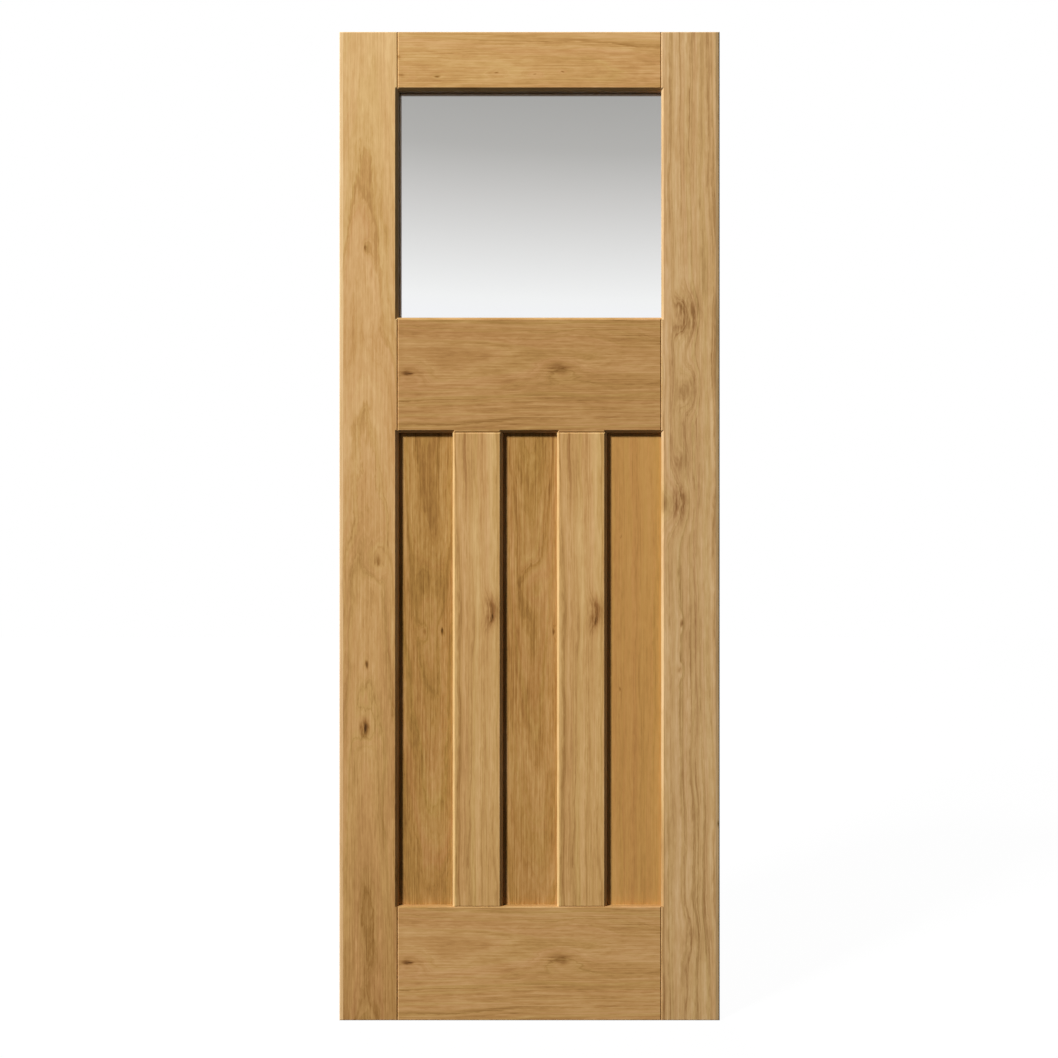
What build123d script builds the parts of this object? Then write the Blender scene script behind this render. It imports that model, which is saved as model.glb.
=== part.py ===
from build123d import *
import os

# Glazed interior door leaf in solid oak: a tenoned frame, three flat panels and one clear light.
# Millimetres. X runs across the width from the hinge edge, Y from the front face to the back, Z upwards.
# The origin is at the foot of the hinge edge, half way through the thickness.

# Overall leaf
DOOR_HEIGHT = 1981.0
DOOR_WIDTH = 762.0
DOOR_THICKNESS = 35.0

# Frame members, measured on the face
STILE_WIDTH = 117.0
LIPPING_THICKNESS = 8.0
TOP_RAIL_HEIGHT = 117.0
LOCK_RAIL_HEIGHT = 231.0
BOTTOM_RAIL_HEIGHT = 228.0
LIGHT_HEIGHT = 455.0
MULLION_WIDTH = 100.0

# Edge treatment: the chamfer round each opening, the fine V-joints between members, and the eased outer edges
ARRIS = 5.0
V_JOINT = 2.0
FOOT_ARRIS = 1.0
OUTER_EASE = 2.0

# Panels and the grooves that hold them
PANEL_THICKNESS = 10.0
GROOVE_DEPTH = 12.0
PANEL_FACE_CLEARANCE = 0.15
PANEL_SIDE_GAP = 2.0
PANEL_TOP_GAP = 1.5

# Mortise and tenon joints
TENON_THICKNESS = 12.0
TENON_LENGTH = 65.0
MULLION_TENON_LENGTH = 28.0
TENON_WALL = 10.0
TENON_SPACING = 25.0
TENON_CLEARANCE = 0.1
TENON_END_GAP = 1.0

# Glazing, from the front lip backwards
FRONT_LIP = 13.0
REBATE_WIDTH = 12.0
GLASS_THICKNESS = 4.0
GLASS_EDGE_CLEARANCE = 2.0
SEAL_THICKNESS = 1.0
SEAL_INSET = 1.0
BEAD_SETBACK = 0.8
BEAD_ARRIS = 3.0

# Faces and edges of the leaf
FRONT = -DOOR_THICKNESS / 2
BACK = DOOR_THICKNESS / 2
LEFT_EDGE = 0.0
RIGHT_EDGE = DOOR_WIDTH
FOOT = 0.0
HEAD = DOOR_HEIGHT

# Sight lines of the frame
INNER_LEFT = LEFT_EDGE + STILE_WIDTH
INNER_RIGHT = RIGHT_EDGE - STILE_WIDTH
PANEL_FOOT = FOOT + BOTTOM_RAIL_HEIGHT
LIGHT_HEAD = HEAD - TOP_RAIL_HEIGHT
LIGHT_FOOT = LIGHT_HEAD - LIGHT_HEIGHT
PANEL_HEAD = LIGHT_FOOT - LOCK_RAIL_HEIGHT
PANEL_NAMES = ["left_panel", "middle_panel", "right_panel"]
MULLION_NAMES = ["left_mullion", "right_mullion"]
BAY_WIDTH = (INNER_RIGHT - INNER_LEFT - len(MULLION_NAMES) * MULLION_WIDTH) / len(PANEL_NAMES)
BAY_PITCH = BAY_WIDTH + MULLION_WIDTH

# Room left inside the grooves, mortises and rebate
GROOVE_HALF = PANEL_THICKNESS / 2 + PANEL_FACE_CLEARANCE
TENON_HALF = TENON_THICKNESS / 2
TENON_MARGIN = max(GROOVE_DEPTH, REBATE_WIDTH) + TENON_WALL
REBATE_FRONT = FRONT + FRONT_LIP
REBATE_LEFT = INNER_LEFT - REBATE_WIDTH
REBATE_RIGHT = INNER_RIGHT + REBATE_WIDTH
REBATE_FOOT = LIGHT_FOOT - REBATE_WIDTH
REBATE_HEAD = LIGHT_HEAD + REBATE_WIDTH
BEAD_BACK = BACK - BEAD_SETBACK


def block(x0, x1, y0, y1, z0, z1):
    """A block between two opposite corners."""
    size = Box(x1 - x0, y1 - y0, z1 - z0)
    return Pos((x0 + x1) / 2, (y0 + y1) / 2, (z0 + z1) / 2) * size


def ease(board, along, across, place, size):
    """Chamfer the front and back edges that run along one axis at one side of a board."""
    if size <= 0:
        return board
    edges = board.edges().filter_by(along).group_by(across)[place]
    return chamfer(edges, size)


def board(x0, x1, z0, z1, left, right, foot, head):
    """A full-thickness board with its own chamfer on each of the four sides."""
    made = block(x0, x1, FRONT, BACK, z0, z1)
    made = ease(made, Axis.Z, Axis.X, 0, left)
    made = ease(made, Axis.Z, Axis.X, -1, right)
    made = ease(made, Axis.X, Axis.Z, 0, foot)
    made = ease(made, Axis.X, Axis.Z, -1, head)
    return made


def tenon_bands(z0, z1, count):
    """Heights of the tenons on a rail's end, clear of its grooves and edges."""
    low = z0 + TENON_MARGIN
    high = z1 - TENON_MARGIN
    tall = (high - low - (count - 1) * TENON_SPACING) / count
    return [(low + i * (tall + TENON_SPACING), low + i * (tall + TENON_SPACING) + tall) for i in range(count)]


def tenons(bands, grow, reach):
    """Tenons at both ends of a rail, or the mortises for them when grown by a clearance."""
    half = TENON_HALF + grow
    made = []
    for low, high in bands:
        made.append(block(INNER_LEFT - reach, INNER_LEFT + grow, -half, half, low - grow, high + grow))
        made.append(block(INNER_RIGHT - grow, INNER_RIGHT + reach, -half, half, low - grow, high + grow))
    return made


def stub_tenons(x0, x1, grow, reach):
    """Tenons at both ends of a mullion, or the mortises for them when grown by a clearance."""
    half = TENON_HALF + grow
    low = x0 + TENON_MARGIN - grow
    high = x1 - TENON_MARGIN + grow
    return [
        block(low, high, -half, half, PANEL_FOOT - reach, PANEL_FOOT + grow),
        block(low, high, -half, half, PANEL_HEAD - grow, PANEL_HEAD + reach),
    ]


def join(solid, extras):
    """One solid made of a board and what grows out of it."""
    for extra in extras:
        solid = solid + extra
    return solid


def cut(solid, tools):
    """One solid with each tool taken away."""
    for tool in tools:
        solid = solid - tool
    return solid


def rim(x0, x1, z0, z1, face, outwards, foot):
    """A tool for the chamfer round an opening, mitred at its corners. It ends square at the foot where foot is 0."""
    outlines = []
    for grow in (0.0, 2 * ARRIS):
        y = face + outwards * (grow - ARRIS)
        low = z0 - foot * grow
        corners = [(x0 - grow, low), (x1 + grow, low), (x1 + grow, z1 + grow), (x0 - grow, z1 + grow)]
        outlines.append(make_face(Polyline(*[(x, y, z) for x, z in corners], close=True)))
    return loft(outlines, ruled=True)


def mitred(points):
    """A prism through the whole thickness on an outline in the plane of the leaf."""
    outline = Polyline(*[(x, BACK, z) for x, z in points], close=True)
    return extrude(make_face(outline), amount=DOOR_THICKNESS, dir=(0, -1, 0))


# Positions across the width of each bay and mullion
bays = [(INNER_LEFT + i * BAY_PITCH, INNER_LEFT + i * BAY_PITCH + BAY_WIDTH) for i in range(len(PANEL_NAMES))]
posts = [(bays[i][1], bays[i + 1][0]) for i in range(len(MULLION_NAMES))]

# The spaces taken out of the frame: a groove pocket round each panel and the rebate round the light
pockets = [
    block(
        x0 - GROOVE_DEPTH,
        x1 + GROOVE_DEPTH,
        -GROOVE_HALF,
        GROOVE_HALF,
        PANEL_FOOT - GROOVE_DEPTH,
        PANEL_HEAD + GROOVE_DEPTH,
    )
    for x0, x1 in bays
]
rebate = block(REBATE_LEFT, REBATE_RIGHT, REBATE_FRONT, BACK, REBATE_FOOT, REBATE_HEAD)

# The chamfers round the openings: on both faces at the panels, where they stop at the bottom rail, and on the front at
# the light, whose back edge is the rebate's
panel_rims = []
for x0, x1 in bays:
    panel_rims.append(rim(x0, x1, PANEL_FOOT, PANEL_HEAD, FRONT, -1, 0))
    panel_rims.append(rim(x0, x1, PANEL_FOOT, PANEL_HEAD, BACK, 1, 0))
light_rim = rim(INNER_LEFT, INNER_RIGHT, LIGHT_FOOT, LIGHT_HEAD, FRONT, -1, 1)

# Tenons on the rails and mullions, and the mortises that take them
rail_bands = {
    "top_rail": tenon_bands(LIGHT_HEAD, HEAD, 1),
    "lock_rail": tenon_bands(PANEL_HEAD, LIGHT_FOOT, 2),
    "bottom_rail": tenon_bands(FOOT, PANEL_FOOT, 2),
}
stile_mortises = []
for bands in rail_bands.values():
    stile_mortises += tenons(bands, TENON_CLEARANCE, TENON_LENGTH + TENON_END_GAP)
rail_mortises = []
for x0, x1 in posts:
    rail_mortises += stub_tenons(x0, x1, TENON_CLEARANCE, MULLION_TENON_LENGTH + TENON_END_GAP)

nodes = {}

# Stiles: full-height boards, chamfered on the inner edge, square where the lipping is glued
left_stile = board(LEFT_EDGE + LIPPING_THICKNESS, INNER_LEFT, FOOT, HEAD, 0, V_JOINT, OUTER_EASE, OUTER_EASE)
nodes["left_stile"] = cut(left_stile, stile_mortises + pockets + panel_rims + [rebate, light_rim])
right_stile = board(INNER_RIGHT, RIGHT_EDGE - LIPPING_THICKNESS, FOOT, HEAD, V_JOINT, 0, OUTER_EASE, OUTER_EASE)
nodes["right_stile"] = cut(right_stile, stile_mortises + pockets + panel_rims + [rebate, light_rim])

# Lippings: the strips on the two long edges, which take the hinges and the latch
nodes["left_lipping"] = board(
    LEFT_EDGE, LEFT_EDGE + LIPPING_THICKNESS, FOOT, HEAD, OUTER_EASE, 0, OUTER_EASE, OUTER_EASE
)
nodes["right_lipping"] = board(
    RIGHT_EDGE - LIPPING_THICKNESS, RIGHT_EDGE, FOOT, HEAD, 0, OUTER_EASE, OUTER_EASE, OUTER_EASE
)

# Rails: shoulders meet the stiles in a V-joint, tenons run on into the stiles
top_rail = board(INNER_LEFT, INNER_RIGHT, LIGHT_HEAD, HEAD, V_JOINT, V_JOINT, 0, OUTER_EASE)
top_rail = join(top_rail, tenons(rail_bands["top_rail"], 0, TENON_LENGTH))
nodes["top_rail"] = cut(top_rail, [rebate, light_rim])
lock_rail = board(INNER_LEFT, INNER_RIGHT, PANEL_HEAD, LIGHT_FOOT, V_JOINT, V_JOINT, V_JOINT, 0)
lock_rail = join(lock_rail, tenons(rail_bands["lock_rail"], 0, TENON_LENGTH))
nodes["lock_rail"] = cut(lock_rail, rail_mortises + pockets + panel_rims + [rebate, light_rim])
bottom_rail = board(INNER_LEFT, INNER_RIGHT, FOOT, PANEL_FOOT, V_JOINT, V_JOINT, OUTER_EASE, FOOT_ARRIS)
bottom_rail = join(bottom_rail, tenons(rail_bands["bottom_rail"], 0, TENON_LENGTH))
nodes["bottom_rail"] = cut(bottom_rail, rail_mortises + pockets)

# Mullions: upright boards between the lock rail and the bottom rail, grooved on both edges
for name, (x0, x1) in zip(MULLION_NAMES, posts):
    mullion = board(x0, x1, PANEL_FOOT, PANEL_HEAD, 0, 0, V_JOINT, V_JOINT)
    mullion = join(mullion, stub_tenons(x0, x1, 0, MULLION_TENON_LENGTH))
    nodes[name] = cut(mullion, pockets + panel_rims)

# Panels: flat boards that stand on the groove of the bottom rail with room to swell sideways
for name, (x0, x1) in zip(PANEL_NAMES, bays):
    nodes[name] = block(
        x0 - GROOVE_DEPTH + PANEL_SIDE_GAP,
        x1 + GROOVE_DEPTH - PANEL_SIDE_GAP,
        -PANEL_THICKNESS / 2,
        PANEL_THICKNESS / 2,
        PANEL_FOOT - GROOVE_DEPTH,
        PANEL_HEAD + GROOVE_DEPTH - PANEL_TOP_GAP,
    )

# Glazing: the pane between two seals, packed off the rebate all round
glass_front = REBATE_FRONT + SEAL_THICKNESS
glass_back = glass_front + GLASS_THICKNESS
bead_front = glass_back + SEAL_THICKNESS
pane_left = REBATE_LEFT + GLASS_EDGE_CLEARANCE
pane_right = REBATE_RIGHT - GLASS_EDGE_CLEARANCE
pane_foot = REBATE_FOOT + GLASS_EDGE_CLEARANCE
pane_head = REBATE_HEAD - GLASS_EDGE_CLEARANCE
nodes["glass_pane"] = block(pane_left, pane_right, glass_front, glass_back, pane_foot, pane_head)
seal_window = block(
    INNER_LEFT - SEAL_INSET, INNER_RIGHT + SEAL_INSET, FRONT, BACK, LIGHT_FOOT - SEAL_INSET, LIGHT_HEAD + SEAL_INSET
)
front_seal = block(pane_left, pane_right, REBATE_FRONT, glass_front, pane_foot, pane_head)
nodes["front_glazing_seal"] = front_seal - seal_window
rear_seal = block(pane_left, pane_right, glass_back, bead_front, pane_foot, pane_head)
nodes["rear_glazing_seal"] = rear_seal - seal_window

# Glazing beads: one ring with a chamfered inner edge, cut into four lengths with mitred ends
opening = block(INNER_LEFT, INNER_RIGHT, FRONT, BACK, LIGHT_FOOT, LIGHT_HEAD)
bead_ring = block(REBATE_LEFT, REBATE_RIGHT, bead_front, BEAD_BACK, REBATE_FOOT, REBATE_HEAD) - opening
inner_wire = bead_ring.faces().sort_by(Axis.Y)[-1].inner_wires()[0]
bead_ring = chamfer(inner_wire.edges(), BEAD_ARRIS)
outer = [
    (REBATE_LEFT, REBATE_FOOT),
    (REBATE_RIGHT, REBATE_FOOT),
    (REBATE_RIGHT, REBATE_HEAD),
    (REBATE_LEFT, REBATE_HEAD),
]
inner = [
    (INNER_LEFT, LIGHT_FOOT),
    (INNER_RIGHT, LIGHT_FOOT),
    (INNER_RIGHT, LIGHT_HEAD),
    (INNER_LEFT, LIGHT_HEAD),
]
for i, side in enumerate(["bottom", "right", "top", "left"]):
    j = (i + 1) % len(outer)
    nodes["glazing_bead_" + side] = bead_ring & mitred([outer[i], outer[j], inner[j], inner[i]])

# One file for each piece
os.makedirs("parts", exist_ok=True)
for name, shape in nodes.items():
    solid = shape.solids()[0]
    solid.label = name
    export_step(solid, "parts/" + name + ".step")
    print(name, "volume", round(solid.volume / 1000), "cm3")
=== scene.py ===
# %% [markdown]
# A glazed interior door in oak. The solids come from the part's own model: stiles, lippings, rails,
# mullions, panels, pane, seals and beads, each a separate piece. This lesson gives them their finishes,
# adds the filled pin heads that are too small for the solids, and sets up the floor, the light and the
# camera. Nothing here changes a size: the last cell prints the door's size as loaded.

# %% Load the door
import math

import bpy
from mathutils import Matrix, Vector


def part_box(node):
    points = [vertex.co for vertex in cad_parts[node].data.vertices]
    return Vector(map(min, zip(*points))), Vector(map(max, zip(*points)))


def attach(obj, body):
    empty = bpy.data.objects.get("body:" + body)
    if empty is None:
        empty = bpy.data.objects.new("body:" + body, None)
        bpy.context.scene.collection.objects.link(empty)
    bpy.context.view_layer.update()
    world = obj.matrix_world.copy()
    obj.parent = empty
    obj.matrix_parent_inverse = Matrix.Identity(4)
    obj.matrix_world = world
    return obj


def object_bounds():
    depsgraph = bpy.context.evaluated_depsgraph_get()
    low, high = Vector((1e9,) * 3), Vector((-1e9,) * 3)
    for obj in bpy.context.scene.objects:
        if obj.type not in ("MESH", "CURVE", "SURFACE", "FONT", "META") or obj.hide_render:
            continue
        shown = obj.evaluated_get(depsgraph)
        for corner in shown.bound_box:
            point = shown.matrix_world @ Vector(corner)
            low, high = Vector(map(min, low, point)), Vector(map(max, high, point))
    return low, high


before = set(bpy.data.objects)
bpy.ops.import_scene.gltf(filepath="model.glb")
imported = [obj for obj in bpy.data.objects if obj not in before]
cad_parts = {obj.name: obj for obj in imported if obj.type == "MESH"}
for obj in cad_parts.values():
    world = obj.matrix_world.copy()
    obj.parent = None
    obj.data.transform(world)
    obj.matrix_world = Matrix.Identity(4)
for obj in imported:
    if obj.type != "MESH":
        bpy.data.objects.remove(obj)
cad_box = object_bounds()
front = cad_box[0].y
middle = (cad_box[0] + cad_box[1]) / 2
scene = bpy.context.scene
scene.view_settings.view_transform = "Standard"
print("loaded", len(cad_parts), "pieces, highest corner", [round(v, 3) for v in cad_box[1]])

# %% [markdown]
# Colours are written as sRGB hex values, the way a paint chart or a picture gives them. Blender's shaders
# work in linear light, so one function converts them. A second small function adds a node with its
# settings and links, which keeps every material below readable as a list of steps.

# %% Colours and nodes
MM = 0.001


def linear(hex_colour):
    """Turn an sRGB hex value into the linear RGBA that a shader socket takes."""
    parts = [int(hex_colour[i:i + 2], 16) / 255 for i in (1, 3, 5)]
    return [p / 12.92 if p <= 0.04045 else ((p + 0.055) / 1.055) ** 2.4 for p in parts] + [1.0]


def add(tree, kind, inputs=None, **settings):
    """Add a node, set its properties, and fill its inputs with values or links. Returns its outputs."""
    made = tree.nodes.new(kind)
    for key, value in settings.items():
        setattr(made, key, value)
    for key, value in (inputs or {}).items():
        if isinstance(value, bpy.types.NodeSocket):
            tree.links.new(value, made.inputs[key])
        else:
            made.inputs[key].default_value = value
    return made.outputs


def new_material(name):
    """A new material and its node tree, with no nodes in it yet."""
    material = bpy.data.materials.new(name)
    material.use_nodes = True
    material.node_tree.nodes.clear()
    return material, material.node_tree


print("honey oak in linear light:", [round(v, 3) for v in linear("#C9A066")])

# %% [markdown]
# Oak comes first, because most of the door is oak. Each board needs a pattern that runs along its own
# grain. It could be unwrapped and given a picture, but a pattern on Object coordinates goes right through
# the wood, so faces, edges and end grain agree. A Mapping node turns the coordinates to millimetres from
# the middle of the board: across the grain, into the face, and along the grain. A rail is an upright
# board turned by a quarter.

# %% Directions of a board
QUARTER_TURN = math.pi / 2


def board_lengths(tree, centre, rail):
    """Millimetres across the grain, into the face and along the grain, from the board's middle."""
    shift = (-centre[1], 0, centre[0]) if rail else (-centre[0], 0, -centre[1])
    place = add(tree, "ShaderNodeTexCoord")["Object"]
    return add(tree, "ShaderNodeMapping", {
        "Vector": place, "Rotation": (0, QUARTER_TURN if rail else 0, 0), "Scale": (1 / MM, 1 / MM, 1 / MM),
        "Location": shift})[0]


print("patterns are measured in steps of", MM, "m")

# %% [markdown]
# Wood varies at several sizes at once, each drawn out along the grain: fine fibres, short flecks, wide
# clouds of tone, and the slow wander of the grain. One noise for each size, stretched by that size, gives
# all of them. Pores are drawn about four times as coarse as real ones, which would be too fine to show.

# %% Noises in the wood
NOISE_SIZES = {
    "wander": (90, 330), "fibre": (1.8, 110), "fleck": (5, 24), "cloud": (55, 240), "pore": (1.1, 16)}
NOISE_ROUGHNESS = 0.55


def grain_noises(tree, board, seed):
    """A noise by name for each size, which is given across and along the grain in millimetres."""
    fields = {}
    for label, (across, along) in NOISE_SIZES.items():
        stretch = (1 / across, 1 / across, 1 / along)
        scaled = add(tree, "ShaderNodeVectorMath", {0: board, 1: stretch}, operation="MULTIPLY")[0]
        fields[label] = add(tree, "ShaderNodeTexNoise", {
            "Vector": scaled, "W": seed + len(fields), "Scale": 1.0, "Detail": 1 if label == "pore" else 2,
            "Roughness": NOISE_ROUGHNESS}, noise_dimensions="4D")
    return fields


print("noises in each board:", ", ".join(NOISE_SIZES))

# %% [markdown]
# A board is a slice through a log, so its figure is drawn as one: growth rings at growing distances from
# a pith that runs behind the face and leans along the board. Where the face cuts the rings flat, they
# close into arches. A Wave texture draws rings as well, but even ones. Here the lengths are first bent by
# the wander and by the flecks, and the distance is measured after that, so no ring is quite round.

# %% Growth rings
WANDER_REACH = (17, 17, 0)
JAG_REACH = (2.5, 2.5, 8)


def bent_grain(tree, board, fields):
    """The board's lengths, moved by as many millimetres as the wander and the jags of the grain reach."""
    for label, reach in (("wander", WANDER_REACH), ("fleck", JAG_REACH)):
        move = add(tree, "ShaderNodeVectorMath", {
            0: fields[label]["Color"], 1: [2 * r for r in reach], 2: [-r for r in reach]},
            operation="MULTIPLY_ADD")[0]
        board = add(tree, "ShaderNodeVectorMath", {0: board, 1: move}, operation="ADD")[0]
    return board


def distance_from_pith(tree, bent, pith, lean):
    """Millimetres from the pith, and along the board.

    pith: how far it lies across from the board's middle and behind it. lean: its slope along the board.
    """
    across, into, length = add(tree, "ShaderNodeSeparateXYZ", {0: bent})
    sideways = add(tree, "ShaderNodeMath", {0: across, 1: pith[0]}, operation="SUBTRACT")[0]
    behind = add(tree, "ShaderNodeMath", {0: length, 1: lean, 2: -pith[1]}, operation="MULTIPLY_ADD")[0]
    inward = add(tree, "ShaderNodeMath", {0: into, 1: behind}, operation="ADD")[0]
    spoke = add(tree, "ShaderNodeCombineXYZ", {0: sideways, 1: inward})[0]
    return add(tree, "ShaderNodeVectorMath", {0: spoke}, operation="LENGTH")["Value"], length


print("rings wander by", WANDER_REACH[0], "mm each way")

# %% [markdown]
# A knot is where a branch grew. It lifts the rings round it, so the figure flows past it, and it darkens
# at its core. Chance could place the knots, but the eye knows a door by its large ones, so each is placed
# one by one. A knot is twice as long along the grain as across it, which is why distances along the grain
# are squeezed to half.

# %% Knots
KNOT_SQUEEZE = 0.5
CORE_DARKEST = 0.2
CORE_FADED = 1.8


def with_knots(tree, bent, rings, knots, centre, rail):
    """The rings lifted by each knot, and the darkness of the cores.

    knots: for each, its x and z on the door, how far and how high it lifts the rings, the size of its core,
    and the core's darkness.
    """
    flat = add(tree, "ShaderNodeVectorMath", {0: bent, 1: (1, 0, KNOT_SQUEEZE)}, operation="MULTIPLY")[0]
    cores = 0.0
    for x, z, reach, lift, core, darkness in knots:
        across, along = (z - centre[1], centre[0] - x) if rail else (x - centre[0], z - centre[1])
        away = add(tree, "ShaderNodeVectorMath", {
            0: flat, 1: (across, 0, along * KNOT_SQUEEZE)}, operation="DISTANCE")["Value"]
        if lift:
            raised = add(tree, "ShaderNodeMapRange", {
                "Value": away, "From Max": reach, "To Min": lift, "To Max": 0.0},
                interpolation_type="SMOOTHERSTEP")[0]
            rings = add(tree, "ShaderNodeMath", {0: rings, 1: raised}, operation="ADD")[0]
        if core:
            dark = add(tree, "ShaderNodeMapRange", {
                "Value": away, "From Min": core * CORE_DARKEST, "From Max": core * CORE_FADED,
                "To Min": darkness, "To Max": 0.0}, interpolation_type="SMOOTHSTEP")[0]
            cores = add(tree, "ShaderNodeMath", {0: cores, 1: dark}, operation="MAXIMUM")[0]
    return rings, cores


print("a knot 10 mm wide is", 10 / KNOT_SQUEEZE, "mm long")

# %% [markdown]
# No two years are alike, so the tone of the rings comes from a noise over the distance from the pith. It
# changes a little along the board too. The darkest years are porous, as in all ring-porous timber, and
# there the pores open as short dashes.

# %% Years and pores
YEAR_DRIFT = 1600
YEAR_DETAIL = 4.0
YEAR_ROUGHNESS = 0.7
POROUS_FROM, POROUS_TO = 0.52, 0.64
DASH_FROM, DASH_TO = 0.4, 0.65


def years(tree, rings, length, ring, seed):
    """A noise that changes from year to year. ring: the width of a few years in millimetres."""
    year = add(tree, "ShaderNodeMath", {0: rings, 1: 1 / ring}, operation="MULTIPLY")[0]
    run = add(tree, "ShaderNodeMath", {0: length, 1: 1 / YEAR_DRIFT}, operation="MULTIPLY")[0]
    record = add(tree, "ShaderNodeCombineXYZ", {0: year, 1: run})[0]
    return add(tree, "ShaderNodeTexNoise", {
        "Vector": record, "W": seed, "Scale": 1.0, "Detail": YEAR_DETAIL, "Roughness": YEAR_ROUGHNESS},
        noise_dimensions="4D")


def open_pores(tree, growth, pore):
    """How porous the wood is, and the pores in it."""
    porous = add(tree, "ShaderNodeMapRange", {
        "Value": growth, "From Min": POROUS_FROM, "From Max": POROUS_TO},
        interpolation_type="SMOOTHSTEP")[0]
    dashes = add(tree, "ShaderNodeMapRange", {
        "Value": pore, "From Min": DASH_FROM, "From Max": DASH_TO},
        interpolation_type="SMOOTHSTEP")[0]
    return porous, add(tree, "ShaderNodeMath", {0: porous, 1: dashes}, operation="MULTIPLY")[0]


print("the years drift over", YEAR_DRIFT, "mm of a board")

# %% [markdown]
# Chamfers are sanded after the faces and come out paler; the paleness is set strong enough to also paint
# the highlight that the light lays along them. End grain soaks up lacquer and comes out darker. Both could
# be painted by hand, but the true normal tells them apart: a chamfer faces between two axes, and end grain
# faces along the board.

# %% Chamfers and end grain
CHAMFER_FACES, SQUARE_FACES = 0.72, 0.95
CHAMFER_SANDING_AND_HIGHLIGHT = -0.16
END_FROM, END_TO = 0.8, 0.95
END_TONE = 0.22


def edge_tones(tree, shade, rail):
    """Shade paler on chamfers, for sanding and a painted highlight, and darker on end grain, in 0 to 1."""
    normal = add(tree, "ShaderNodeNewGeometry")["True Normal"]
    facing = add(tree, "ShaderNodeVectorMath", {0: normal}, operation="ABSOLUTE")[0]
    facing = add(tree, "ShaderNodeSeparateXYZ", {0: facing})
    square = add(tree, "ShaderNodeMath", {0: facing[0], 1: facing[1]}, operation="MAXIMUM")[0]
    square = add(tree, "ShaderNodeMath", {0: square, 1: facing[2]}, operation="MAXIMUM")[0]
    # Paler chamfers: partly sanded wood, partly a painted highlight where the light catches the edges.
    sanded_and_highlight = add(tree, "ShaderNodeMapRange", {
        "Value": square, "From Min": CHAMFER_FACES, "From Max": SQUARE_FACES, "To Min": CHAMFER_SANDING_AND_HIGHLIGHT,
        "To Max": 0.0})[0]
    shade = add(tree, "ShaderNodeMath", {0: shade, 1: sanded_and_highlight}, operation="ADD")[0]
    end_grain = add(tree, "ShaderNodeMapRange", {
        "Value": facing[0 if rail else 2], "From Min": END_FROM, "From Max": END_TO, "To Max": END_TONE})[0]
    return add(tree, "ShaderNodeMath", {0: shade, 1: end_grain}, operation="ADD", use_clamp=True)[0]


print("tone on a chamfer", CHAMFER_SANDING_AND_HIGHLIGHT, "and on end grain", END_TONE)

# %% [markdown]
# Now the parts come together as one finish: planed and sanded oak under a thin satin lacquer. To the eye
# that is a warm wood of low contrast with a soft sheen, a little duller where it is porous, and pores
# that can just be felt. All the patterns are added up to one shade, and a ramp of four tones turns the
# shade to colour. Mixing colours one pattern after another would do as well, but then no single tone
# could be set by itself.

# %% The oak finish
FACE_STOP, EARLY_STOP = 0.34, 0.64
PORE_SHARE = 0.6
LINE_MEAN = 0.35
MOTTLE_FROM, MOTTLE_TO = 0.3, 0.6
MOTTLE_LEAST, MOTTLE_MOST = 0.35, 1.1
GROWTH_LOW, GROWTH_HIGH = 0.3, 0.7
HUE_LEAST, HUE_MOST = 0.49, 0.51
SATIN = 0.45
POROUS_DULL = 0.1
PORE_DEPTH = 0.2 * MM
PORE_RELIEF = 0.2
LACQUER_IOR = 1.5
LACQUER_SHINE = 0.06
LACQUER_TINT = linear("#FFE2BE")


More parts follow.
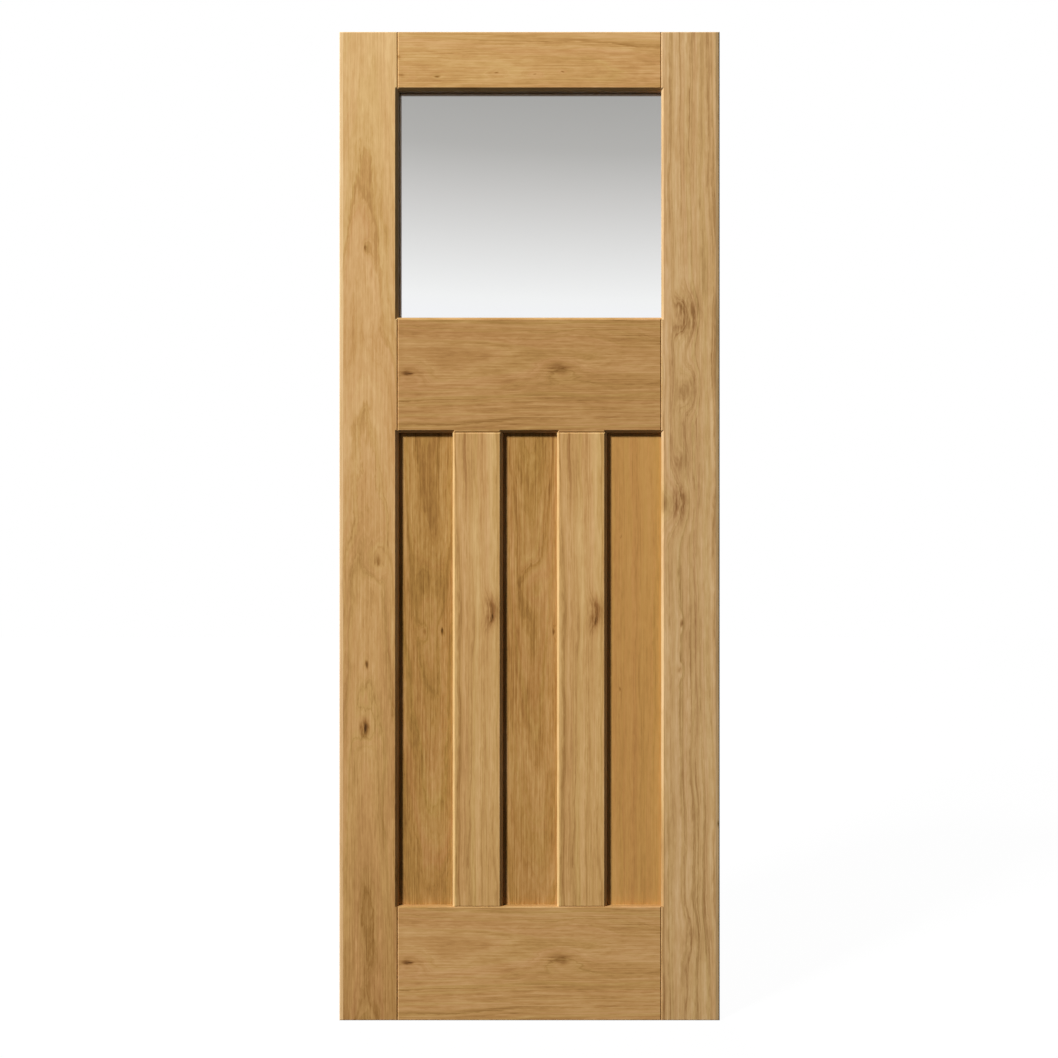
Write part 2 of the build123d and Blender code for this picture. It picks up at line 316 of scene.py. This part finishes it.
def oak(name, tones, centre, seed, lie, pith, lean, ring, line, knots, along="Z", painted_falloff=0.0):
    """Lacquered oak for one board.

    lie: the strengths of growth, fibre, fleck and cloud. line: the strength of the porous years.
    painted_falloff: how much darker the board gets in a metre along it, painted shade for the light falling
    off down the door; a negative value makes it paler towards the top.
    """
    material, tree = new_material(name)
    rail = along == "X"
    board = board_lengths(tree, centre, rail)
    fields = grain_noises(tree, board, seed)
    bent = bent_grain(tree, board, fields)
    rings, length = distance_from_pith(tree, bent, pith, lean)
    rings, cores = with_knots(tree, bent, rings, knots, centre, rail)
    fields["growth"] = years(tree, rings, length, ring, seed)
    porous, pores = open_pores(tree, fields["growth"]["Fac"], fields["pore"]["Fac"])

    drawn = add(tree, "ShaderNodeMath", {0: pores, 1: PORE_SHARE, 2: porous}, operation="MULTIPLY_ADD")[0]
    shade = add(tree, "ShaderNodeMath", {
        0: drawn, 1: line, 2: FACE_STOP - LINE_MEAN * line}, operation="MULTIPLY_ADD")[0]
    for label, strength in zip(("growth", "fibre", "fleck", "cloud"), lie):
        part = add(tree, "ShaderNodeMath", {
            0: fields[label]["Fac"], 1: strength, 2: -strength / 2}, operation="MULTIPLY_ADD")[0]
        shade = add(tree, "ShaderNodeMath", {0: shade, 1: part}, operation="ADD")[0]
    # Painted shade: the board darkens along its length as the light falls off down the door.
    if painted_falloff:
        shade = add(tree, "ShaderNodeMath", {
            0: length, 1: painted_falloff * MM, 2: shade}, operation="MULTIPLY_ADD")[0]
    mottled = add(tree, "ShaderNodeMapRange", {
        "Value": fields["fleck"]["Fac"], "From Min": MOTTLE_FROM, "From Max": MOTTLE_TO,
        "To Min": MOTTLE_LEAST, "To Max": MOTTLE_MOST})[0]
    shade = add(tree, "ShaderNodeMath", {0: cores, 1: mottled, 2: shade}, operation="MULTIPLY_ADD")[0]
    shade = edge_tones(tree, shade, rail)

    ramp = tree.nodes.new("ShaderNodeValToRGB")
    tree.links.new(shade, ramp.inputs[0])
    pale, face, early, deep = [linear(tone) for tone in tones]
    for stop, colour in ((FACE_STOP, face), (EARLY_STOP, early)):
        ramp.color_ramp.elements.new(stop).color = colour
    ramp.color_ramp.elements[0].color = pale
    ramp.color_ramp.elements[-1].color = deep
    hue = add(tree, "ShaderNodeMapRange", {
        "Value": fields["growth"]["Color"], "From Min": GROWTH_LOW, "From Max": GROWTH_HIGH,
        "To Min": HUE_LEAST, "To Max": HUE_MOST})[0]
    colour = add(tree, "ShaderNodeHueSaturation", {"Hue": hue, "Color": ramp.outputs[0]})[0]

    sheen = add(tree, "ShaderNodeMath", {0: porous, 1: POROUS_DULL, 2: SATIN}, operation="MULTIPLY_ADD")[0]
    height = add(tree, "ShaderNodeMath", {0: pores, 1: -1.0}, operation="MULTIPLY")[0]
    relief = add(tree, "ShaderNodeBump", {
        "Height": height, "Strength": PORE_RELIEF, "Distance": PORE_DEPTH})[0]
    shader = add(tree, "ShaderNodeBsdfPrincipled", {
        "Base Color": colour, "Roughness": sheen, "Normal": relief, "IOR": LACQUER_IOR,
        "Specular IOR Level": LACQUER_SHINE, "Specular Tint": LACQUER_TINT})[0]
    add(tree, "ShaderNodeOutputMaterial", {"Surface": shader})
    return material


print("satin lacquer: roughness", SATIN, "to", SATIN + POROUS_DULL)

# %% [markdown]
# Each board has its own tone, pith and knots, matched to the real leaf: the stiles and mullions
# are paler than the rails and panels, and two rails come from neighbouring cuts, so their knots lie in
# the same places. One oak for all would be quicker, but a door made from one board looks printed. The
# four tones of a board run from its palest wood, over its face and its porous years, to the deepest
# knots.

# %% Tones of the boards
STILE_TONES = ("#DEB983", "#C2965D", "#9A6E3B", "#4E3118")
GREY_STILE_TONES = ("#DCBB8C", "#C29B67", "#9A7144", "#4C321C")
RAIL_TONES = ("#CBA26C", "#AF844E", "#885F33", "#472B14")
FOOT_RAIL_TONES = ("#D2AA74", "#B88C54", "#906637", "#472B14")
PALE_RAIL_TONES = ("#DCB67E", "#C2965C", "#9C703B", "#4E3118")
MULLION_TONES = ("#DEB981", "#C2975E", "#986B3B", "#4A2E16")
PANEL_TONES = ("#CAA065", "#AC7F44", "#835A2C", "#412810")
PLAIN_PANEL_TONES = ("#CFA162", "#BB8B4D", "#946735", "#472B14")
# The lippings are lit and shaded copies: the left one is paler for a painted highlight on the lit edge, the
# right one darker and greyer for painted shade on the edge away from the light.
LIT_LEFT_LIPPING_TONES = ("#EBCB9B", "#DBB480", "#B48A56", "#6A4826")
SHADED_RIGHT_LIPPING_TONES = ("#C4A67C", "#AB8C61", "#866A44", "#443320")
print("face of the stiles", STILE_TONES[1], "of the panels", PANEL_TONES[1])

# %% [markdown]
# A board is then described by a few numbers, like a line in a cutting list: its tones, a seed for its
# noises, how strong each pattern is, where its pith lies and how it leans, the width of its rings, and
# its knots. Lengths are in millimetres. The middle of each board comes from the solid itself, so the
# figure stays on its board when a size changes.

# %% The boards
# painted_falloff paints the light's fall-off onto a board: paler at its top, darker at its foot.
BOARDS = {
    "left_stile": dict(
        tones=STILE_TONES, seed=3.1, lie=(0.58, 0.46, 0.3, 0.36), pith=(-6, 62), lean=-0.04, ring=8,
        line=0.08, painted_falloff=-0.18, knots=[
            (56, 1546, 16, 6, 3.0, 0.5), (74, 920, 34, 10, 5, 0.35), (50, 714, 20, 6, 3.4, 0.5),
            (48, 586, 34, 9, 7.5, 0.6), (72, 1363, 46, 7, 12, 0.08)]),
    "right_stile": dict(
        tones=GREY_STILE_TONES, seed=11.7, lie=(0.8, 0.42, 0.36, 0.45), pith=(130, 50), lean=0.02, ring=9,
        line=0.08, painted_falloff=-0.02, knots=[
            (697, 1412, 44, 24, 22, 0.34), (704, 1263, 40, 24, 12, 0.1), (688, 1122, 26, 12, 9, 0.1),
            (681, 1036, 52, 22, 15, 0.34), (685, 796, 18, 6, 3.4, 0.45), (685, 702, 17, 6, 3.4, 0.45),
            (701, 171, 44, 9, 12, 0.1)]),
    "top_rail": dict(
        tones=PALE_RAIL_TONES, seed=21.3, lie=(0.82, 0.58, 0.34, 0.4), pith=(-20, 70), lean=0.04, ring=9,
        line=0.08, along="X", knots=[
            (116, 1934, 16, 8, 3.4, 0.5), (126, 1894, 12, 6, 2.4, 0.45), (198, 1892, 12, 6, 2.4, 0.45),
            (316, 1898, 18, 9, 1.4, 0.4), (392, 1894, 18, 9, 1.4, 0.4), (448, 1900, 14, 7, 1.4, 0.4)]),
    "lock_rail": dict(
        tones=RAIL_TONES, seed=31.9, lie=(0.95, 0.62, 0.34, 0.34), pith=(30, 66), lean=0.03, ring=8,
        line=0.1, along="X", knots=[(138, 1299, 44, 14, 4, 0.5), (440, 1306, 40, 9, 10, 0.3)]),
    "bottom_rail": dict(
        tones=FOOT_RAIL_TONES, seed=31.9, lie=(0.95, 0.62, 0.34, 0.34), pith=(30, 66), lean=0.03, ring=8,
        line=0.1, along="X", knots=[(138, 119, 44, 14, 4, 0.5), (442, 123, 40, 9, 10, 0.3)]),
    "left_mullion": dict(
        tones=MULLION_TONES, seed=43.2, lie=(1.0, 0.4, 0.28, 0.36), pith=(90, 30), lean=0.01, ring=13,
        line=0.06, knots=[(303, 822, 34, 9, 15, 0.34), (305, 806, 12, 4, 5, 0.6)]),
    "right_mullion": dict(
        tones=MULLION_TONES, seed=43.2, lie=(1.0, 0.4, 0.28, 0.36), pith=(90, 30), lean=0.01, ring=13,
        line=0.06, knots=[(511, 818, 34, 9, 15, 0.34), (513, 802, 12, 4, 5, 0.6)]),
    "left_panel": dict(
        tones=PANEL_TONES, seed=53.8, lie=(0.62, 0.72, 0.4, 0.5), pith=(8, 60), lean=0.05, ring=8,
        line=0.06, knots=[
            (206, 778, 16, 8, 2.8, 0.45), (170, 776, 20, 9, 2.2, 0.3), (182, 880, 40, 8, 0, 0)]),
    "middle_panel": dict(
        tones=PANEL_TONES, seed=54.6, lie=(0.62, 0.72, 0.4, 0.5), pith=(6, 60), lean=0.06, ring=8,
        line=0.07, knots=[(434, 778, 14, 7, 2.4, 0.45), (394, 872, 36, 14, 0, 0)]),
    "right_panel": dict(
        tones=PLAIN_PANEL_TONES, seed=65.4, lie=(0.35, 0.34, 0.26, 0.16), pith=(120, 30), lean=0.0, ring=12,
        line=0.03, knots=[(562, 971, 8, 3, 1.4, 0.35), (562, 662, 8, 3, 1.6, 0.35)]),
    "left_lipping": dict(
        tones=LIT_LEFT_LIPPING_TONES, seed=71.1, lie=(0.6, 0.4, 0.28, 0.34), pith=(60, 40), lean=0.0, ring=12,
        line=0.06, painted_falloff=-0.15, knots=[]),
    "right_lipping": dict(
        tones=SHADED_RIGHT_LIPPING_TONES, seed=77.7, lie=(0.6, 0.4, 0.28, 0.34), pith=(60, 40), lean=0.0, ring=12,
        line=0.06, knots=[(757, 396, 10, 4, 3.0, 0.5)]),
}


def middle_of(piece):
    """Middle of a piece in millimetres: across the door and up it."""
    low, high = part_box(piece)
    return (low.x + high.x) / 2 / MM, (low.z + high.z) / 2 / MM


for piece, settings in BOARDS.items():
    finish = oak("lacquered_oak_" + piece, centre=middle_of(piece), **settings)
    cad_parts[piece].material_slots[0].material = finish
print("oak boards:", len(BOARDS))

# %% [markdown]
# The beads are thin strips cut from plain stock, so they share two finishes, one for the upright pair and
# one for the level pair, and have hardly any figure. They take the darker tones of the rails, which paint
# extra shade into the reveal round the pane.

# %% The beads
# The rail tones darken the beads: painted shade in the reveal round the pane.
PAINTED_SHADE_BEAD = dict(
    tones=RAIL_TONES, lie=(0.4, 0.3, 0.2, 0.2), pith=(40, 30), lean=0.0, ring=12, line=0.04, knots=[])
light_middle = middle_of("glass_pane")
upright_bead = oak("lacquered_oak_bead_upright", centre=light_middle, seed=83.5, **PAINTED_SHADE_BEAD)
level_bead = oak("lacquered_oak_bead_level", centre=light_middle, seed=87.2, along="X", **PAINTED_SHADE_BEAD)
bead_finishes = {"left": upright_bead, "right": upright_bead, "top": level_bead, "bottom": level_bead}
for side, finish in bead_finishes.items():
    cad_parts["glazing_bead_" + side].material_slots[0].material = finish
print("beads:", ", ".join(bead_finishes))

# %% [markdown]
# The pane is clear float glass. Float glass is nearly perfect, so all that the eye gets beside its
# reflection is a very faint ripple and a little haze from cleaning, which two soft noises give to the
# relief and the roughness. Cycles finds no straight way through refracting glass from a surface to a
# lamp, so a pane would throw a shadow like a board's. It is set to throw none.

# %% Glass
RIPPLE = 160 * MM
RIPPLE_HEIGHT = 1 * MM
HAZE = 90 * MM
HAZE_ROUGHNESS = 0.02
GLASS_IOR = 1.52
GLASS_SHINE = 0.2
glass, tree = new_material("clear_float_glass")
place = add(tree, "ShaderNodeTexCoord")["Object"]
ripple = add(tree, "ShaderNodeTexNoise", {"Vector": place, "Scale": 1 / RIPPLE, "Detail": 1.0})[0]
wave = add(tree, "ShaderNodeBump", {"Height": ripple, "Strength": 0.02, "Distance": RIPPLE_HEIGHT})[0]
haze = add(tree, "ShaderNodeTexNoise", {"Vector": place, "Scale": 1 / HAZE, "Detail": 4.0})[0]
rough = add(tree, "ShaderNodeMapRange", {
    "Value": haze, "From Min": 0.5, "From Max": 0.8, "To Max": HAZE_ROUGHNESS})[0]
shader = add(tree, "ShaderNodeBsdfPrincipled", {
    "Base Color": linear("#FCFCFB"), "Roughness": rough, "Normal": wave, "IOR": GLASS_IOR,
    "Specular IOR Level": GLASS_SHINE, "Transmission Weight": 1.0})[0]
add(tree, "ShaderNodeOutputMaterial", {"Surface": shader})
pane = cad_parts["glass_pane"]
pane.material_slots[0].material = glass
pane.visible_shadow = False
print("glass on", pane.name)

# %% [markdown]
# The seals are butyl glazing tape, a sticky strip that is rolled out and squeezed by the pane. To the eye
# it is a dark, matt line with a slight grit, so one fine noise sets its tone, its roughness and its
# relief.

# %% Glazing tape
TAPE_GRIT = 2 * MM
GRIT_HEIGHT = 0.1 * MM
tape, tree = new_material("butyl_glazing_tape")
place = add(tree, "ShaderNodeTexCoord")["Object"]
grit = add(tree, "ShaderNodeTexNoise", {"Vector": place, "Scale": 1 / TAPE_GRIT, "Detail": 2.0})[0]
tint = add(tree, "ShaderNodeMix", {
    "Factor": grit, "A": linear("#3A2C20"), "B": linear("#4C3B2C")}, data_type="RGBA")
colour = [s for s in tint if s.type == "RGBA"][0]
rough = add(tree, "ShaderNodeMapRange", {"Value": grit, "To Min": 0.6, "To Max": 0.85})[0]
skin = add(tree, "ShaderNodeBump", {"Height": grit, "Strength": 0.3, "Distance": GRIT_HEIGHT})[0]
shader = add(tree, "ShaderNodeBsdfPrincipled", {
    "Base Color": colour, "Roughness": rough, "Normal": skin})[0]
add(tree, "ShaderNodeOutputMaterial", {"Surface": shader})
seals = ("front_glazing_seal", "rear_glazing_seal")
for piece in seals:
    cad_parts[piece].material_slots[0].material = tape
print("tape on", " and ".join(seals))

# %% [markdown]
# The beads are pinned to the frame from the back. The pins are punched in, filled with wood filler and
# sanded, so what shows is a row of small round spots, matt and a little mottled.

# %% Wood filler
FILLER_GRIT = 1.5 * MM
filler, tree = new_material("wood_filler")
place = add(tree, "ShaderNodeTexCoord")["Object"]
mottle = add(tree, "ShaderNodeTexNoise", {"Vector": place, "Scale": 1 / FILLER_GRIT, "Detail": 2.0})[0]
tint = add(tree, "ShaderNodeMix", {
    "Factor": mottle, "A": linear("#8A6234"), "B": linear("#6F4B26")}, data_type="RGBA")
colour = [s for s in tint if s.type == "RGBA"][0]
rough = add(tree, "ShaderNodeMapRange", {"Value": mottle, "To Min": 0.55, "To Max": 0.75})[0]
skin = add(tree, "ShaderNodeBump", {"Height": mottle, "Strength": 0.3, "Distance": GRIT_HEIGHT})[0]
shader = add(tree, "ShaderNodeBsdfPrincipled", {
    "Base Color": colour, "Roughness": rough, "Normal": skin})[0]
add(tree, "ShaderNodeOutputMaterial", {"Surface": shader})
print("filler grit", FILLER_GRIT / MM, "mm")

# %% [markdown]
# The pins repeat, so a small tree of geometry nodes places them: four lines of points along the middle of
# the beads, a slight scatter along each line, since nobody spaces pins by a ruler, and a disc on each
# point. Placing 16 discs by hand would look the same once, but not when the beads change. The lines start
# from the beads' own corners.

# %% Lines of pins
PINS_IN_A_BEAD = 4
DISC_SIDES = 14
SIZES = {"Inset": 4.5 * MM, "Corner": 60 * MM, "Diameter": 2.6 * MM, "Depth": 0.3 * MM, "Scatter": 4 * MM}
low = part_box("glazing_bead_left")[0]
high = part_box("glazing_bead_right")[1]
tree = bpy.data.node_groups.new("bead_pins", "GeometryNodeTree")
sockets = {}
for label in SIZES:
    sockets[label] = tree.interface.new_socket(label, in_out="INPUT", socket_type="NodeSocketFloat")
tree.interface.new_socket("Geometry", in_out="OUTPUT", socket_type="NodeSocketGeometry")
given = add(tree, "NodeGroupInput")
lines = []
for across in (True, False):
    for far in (False, True):
        start = Vector((low.x, high.y, low.z))
        stop = Vector((high.x, high.y, low.z)) if across else Vector((low.x, high.y, high.z))
        if far and across:
            start.z = stop.z = high.z
        elif far:
            start.x = stop.x = high.x
        sign = -1.0 if far else 1.0
        inset = add(tree, "ShaderNodeMath", {0: given["Inset"], 1: sign}, operation="MULTIPLY")[0]
        back = add(tree, "ShaderNodeMath", {0: given["Corner"], 1: -1.0}, operation="MULTIPLY")[0]
        ends = []
        for point, run in ((start, given["Corner"]), (stop, back)):
            steps = {"X": run, "Z": inset} if across else {"X": inset, "Z": run}
            move = add(tree, "ShaderNodeCombineXYZ", steps)[0]
            ends.append(add(tree, "ShaderNodeVectorMath", {0: point, 1: move}, operation="ADD")[0])
        line = add(tree, "GeometryNodeMeshLine", {
            "Count": PINS_IN_A_BEAD, "Start Location": ends[0], "Offset": ends[1]}, mode="END_POINTS")[0]
        most = add(tree, "ShaderNodeCombineXYZ", {"X" if across else "Z": given["Scatter"]})[0]
        least = add(tree, "ShaderNodeVectorMath", {0: most, 1: (-1, -1, -1)}, operation="MULTIPLY")[0]
        chance = add(tree, "FunctionNodeRandomValue", {
            0: least, 1: most, "Seed": len(lines)}, data_type="FLOAT_VECTOR")[0]
        lines.append(add(tree, "GeometryNodeSetPosition", {"Geometry": line, "Offset": chance})[0])
print("lines of pins:", len(lines), "with", PINS_IN_A_BEAD, "in each")

# %% [markdown]
# A flat cylinder goes on each point, turned to face the back. The tree ends by making the copies real and
# giving them the filler, because an export drops instances. The sizes are set on the modifier by the
# sockets' identifiers, and the result is taken as a plain mesh and hung on the door's root.

# %% Discs on the lines
joined = tree.nodes.new("GeometryNodeJoinGeometry")
for line in lines:
    tree.links.new(line, joined.inputs[0])
radius = add(tree, "ShaderNodeMath", {0: given["Diameter"], 1: 0.5}, operation="MULTIPLY")[0]
disc = add(tree, "GeometryNodeMeshCylinder", {
    "Vertices": DISC_SIDES, "Radius": radius, "Depth": given["Depth"]})["Mesh"]
placed = add(tree, "GeometryNodeInstanceOnPoints", {
    "Points": joined.outputs[0], "Instance": disc, "Rotation": (QUARTER_TURN, 0, 0)})[0]
solid = add(tree, "GeometryNodeRealizeInstances", {"Geometry": placed})[0]
filled = add(tree, "GeometryNodeSetMaterial", {"Geometry": solid, "Material": filler})[0]
add(tree, "NodeGroupOutput", {"Geometry": filled})

holder = bpy.data.objects.new("pin_layout", bpy.data.meshes.new("pin_layout"))
scene.collection.objects.link(holder)
layout = holder.modifiers.new("pins", "NODES")
layout.node_group = tree
for label, value in SIZES.items():
    layout[sockets[label].identifier] = value
bpy.context.view_layer.update()
shape = bpy.data.meshes.new_from_object(holder.evaluated_get(bpy.context.evaluated_depsgraph_get()))
bpy.data.objects.remove(holder)
pins = bpy.data.objects.new("bead_pins", shape)
scene.collection.objects.link(pins)
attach(pins, "root")
print("bead pins:", len(shape.polygons), "faces")

# %% [markdown]
# The floor is plain and pale. Lamps bright enough to turn it white would burn out the oak, so it is white
# only to the camera, to reflections and to what is seen through glass: there it glows, with a small share
# of plain paper left for the door's own soft shadow. To all other rays it is dark and doesn't glow, so it
# throws little light up into the recesses, and the glow isn't sampled as a lamp.

# %% Floor
PLAIN_WHITE = (1.0, 1.0, 1.0, 1.0)
FLOOR_SIZE = 14
GLOW_SHARE = 0.975
FLOOR_BOUNCE = linear("#343434")


def rays_that_show(tree, path):
    """1 for rays that bring the background to the eye, straight or by mirror or glass, and 0 for others."""
    seen = add(tree, "ShaderNodeMath", {
        0: path["Is Camera Ray"], 1: path["Is Glossy Ray"]}, operation="ADD")[0]
    seen = add(tree, "ShaderNodeMath", {
        0: seen, 1: path["Is Transmission Ray"]}, operation="ADD", use_clamp=True)[0]
    direct = add(tree, "ShaderNodeMath", {0: path["Diffuse Depth"], 1: 0.5}, operation="LESS_THAN")[0]
    return add(tree, "ShaderNodeMath", {0: seen, 1: direct}, operation="MULTIPLY")[0]


bpy.ops.mesh.primitive_plane_add(size=FLOOR_SIZE, location=(middle.x, 0, 0))
floor = bpy.context.object
floor.name = "floor"
paper, tree = new_material("white_paper_floor")
seen = rays_that_show(tree, add(tree, "ShaderNodeLightPath"))
share = add(tree, "ShaderNodeMath", {0: seen, 1: GLOW_SHARE}, operation="MULTIPLY")[0]
tint = add(tree, "ShaderNodeMix", {"Factor": seen, "A": FLOOR_BOUNCE, "B": PLAIN_WHITE}, data_type="RGBA")
matt = add(tree, "ShaderNodeBsdfDiffuse", {"Color": [s for s in tint if s.type == "RGBA"][0]})[0]
glow = add(tree, "ShaderNodeEmission", {"Color": PLAIN_WHITE, "Strength": 1.0})[0]
both = add(tree, "ShaderNodeMixShader", {0: share, 1: matt, 2: glow})[0]
add(tree, "ShaderNodeOutputMaterial", {"Surface": both})
paper.cycles.emission_sampling = "NONE"
floor.data.materials.append(paper)
print("floor", FLOOR_SIZE, "m across")

# %% [markdown]
# The world round the door is white to the camera as well. Through the pane the eye sees a pale ceiling
# that gets greyer with height, which is what makes clear glass show at all. All other rays get a weak,
# even fill, so the shadows keep some colour.

# %% Background
FILL = 0.075
CEILING = (
    (0.208, "#F4F5F8"), (0.222, "#F3F4F5"), (0.267, "#E0E0E0"), (0.311, "#CAC9C8"), (0.353, "#B0AFAD"),
    (0.395, "#A4A3A1"))
world = bpy.data.worlds.new("studio")
scene.world = world
world.use_nodes = True
tree = world.node_tree
tree.nodes.clear()
path = add(tree, "ShaderNodeLightPath")
direction = add(tree, "ShaderNodeTexCoord")["Generated"]
upward = add(tree, "ShaderNodeSeparateXYZ", {0: direction})[2]
ceiling = tree.nodes.new("ShaderNodeValToRGB")
tree.links.new(upward, ceiling.inputs[0])
stops = ceiling.color_ramp.elements
for stop, (height, shade) in zip(stops, (CEILING[0], CEILING[-1])):
    stop.position = height
    stop.color = linear(shade)
for height, shade in CEILING[1:-1]:
    stops.new(height).color = linear(shade)
through = add(tree, "ShaderNodeBackground", {"Color": ceiling.outputs[0], "Strength": 1.0})[0]
fill = add(tree, "ShaderNodeBackground", {"Color": PLAIN_WHITE, "Strength": FILL})[0]
white = add(tree, "ShaderNodeBackground", {"Color": PLAIN_WHITE, "Strength": 1.0})[0]
behind = add(tree, "ShaderNodeMixShader", {0: path["Is Transmission Ray"], 1: white, 2: through})[0]
light = add(tree, "ShaderNodeMixShader", {0: rays_that_show(tree, path), 1: fill, 2: behind})[0]
add(tree, "ShaderNodeOutputWorld", {"Surface": light})
print("ceiling seen through the pane:", len(stops), "tones")

# %% [markdown]
# One softbox stands in front, up and to the left, as the bright left-hand chamfers and the shadows on the
# left and at the head of each recess say. Its height and side follow from those shadows: for a recess
# 12.5 mm deep they reach about 13 mm across and as much down. It is far off, so that the chamfers at the
# head stay as dark as those lower down. A second one stands behind, on the same side, so that the back
# can be seen as well. Both are hidden from mirrored and refracted rays, so the pane throws no bright
# light into the dark reveals round it.

# %% Light
FAR = 18.0
SOFTBOX_SIZE = 2.6
SOFTBOXES = (("key", (-1.05, -1.0, 1.06), 5070), ("back", (-0.45, 1.0, 0.35), 2800))
for label, towards, watts in SOFTBOXES:
    lamp = bpy.data.lights.new(label + "_softbox", "AREA")
    lamp.size = SOFTBOX_SIZE
    lamp.energy = watts
    softbox = bpy.data.objects.new(label + "_softbox", lamp)
    facing = Vector(towards).normalized()
    softbox.location = middle + facing * FAR
    softbox.rotation_euler = facing.to_track_quat("Z", "Y").to_euler()
    softbox.visible_camera = softbox.visible_transmission = softbox.visible_glossy = False
    scene.collection.objects.link(softbox)
    print(label, "softbox at", [round(v, 2) for v in softbox.location])

# %% [markdown]
# The camera looks straight at the face, and the lens follows from the width of the frame on it. It stands
# a little to the right, and the lens is shifted back by the same amount, so that the face stays square
# and the left reveals show. Turning the camera instead would make the far side of the door shorter than
# the near one.

# %% Camera
IMAGE_WIDTH = 1058
PIXEL = 2.0025 * MM
FRAME_WIDTH = IMAGE_WIDTH * PIXEL
DISTANCE = 2.0
ASIDE = 0.299
AIM_ACROSS, AIM_UP = -0.4 * PIXEL, -2.9 * PIXEL
view = bpy.data.cameras.new("camera")
view.sensor_width = 36
view.lens = view.sensor_width * DISTANCE / FRAME_WIDTH
view.shift_x = (AIM_ACROSS - ASIDE) / FRAME_WIDTH
camera = bpy.data.objects.new("camera", view)
camera.location = (middle.x + ASIDE, front - DISTANCE, middle.z + AIM_UP)
camera.rotation_euler = (QUARTER_TURN, 0, 0)
scene.collection.objects.link(camera)
scene.camera = camera
print("lens", round(view.lens, 1), "shift", round(view.shift_x, 3))

# %% [markdown]
# The visual model has to keep the solids' size, so the last cell prints the size of the door as loaded.

# %% Sizes, and the end
print("door", [round(v, 3) for v in cad_box[1] - cad_box[0]], "m")
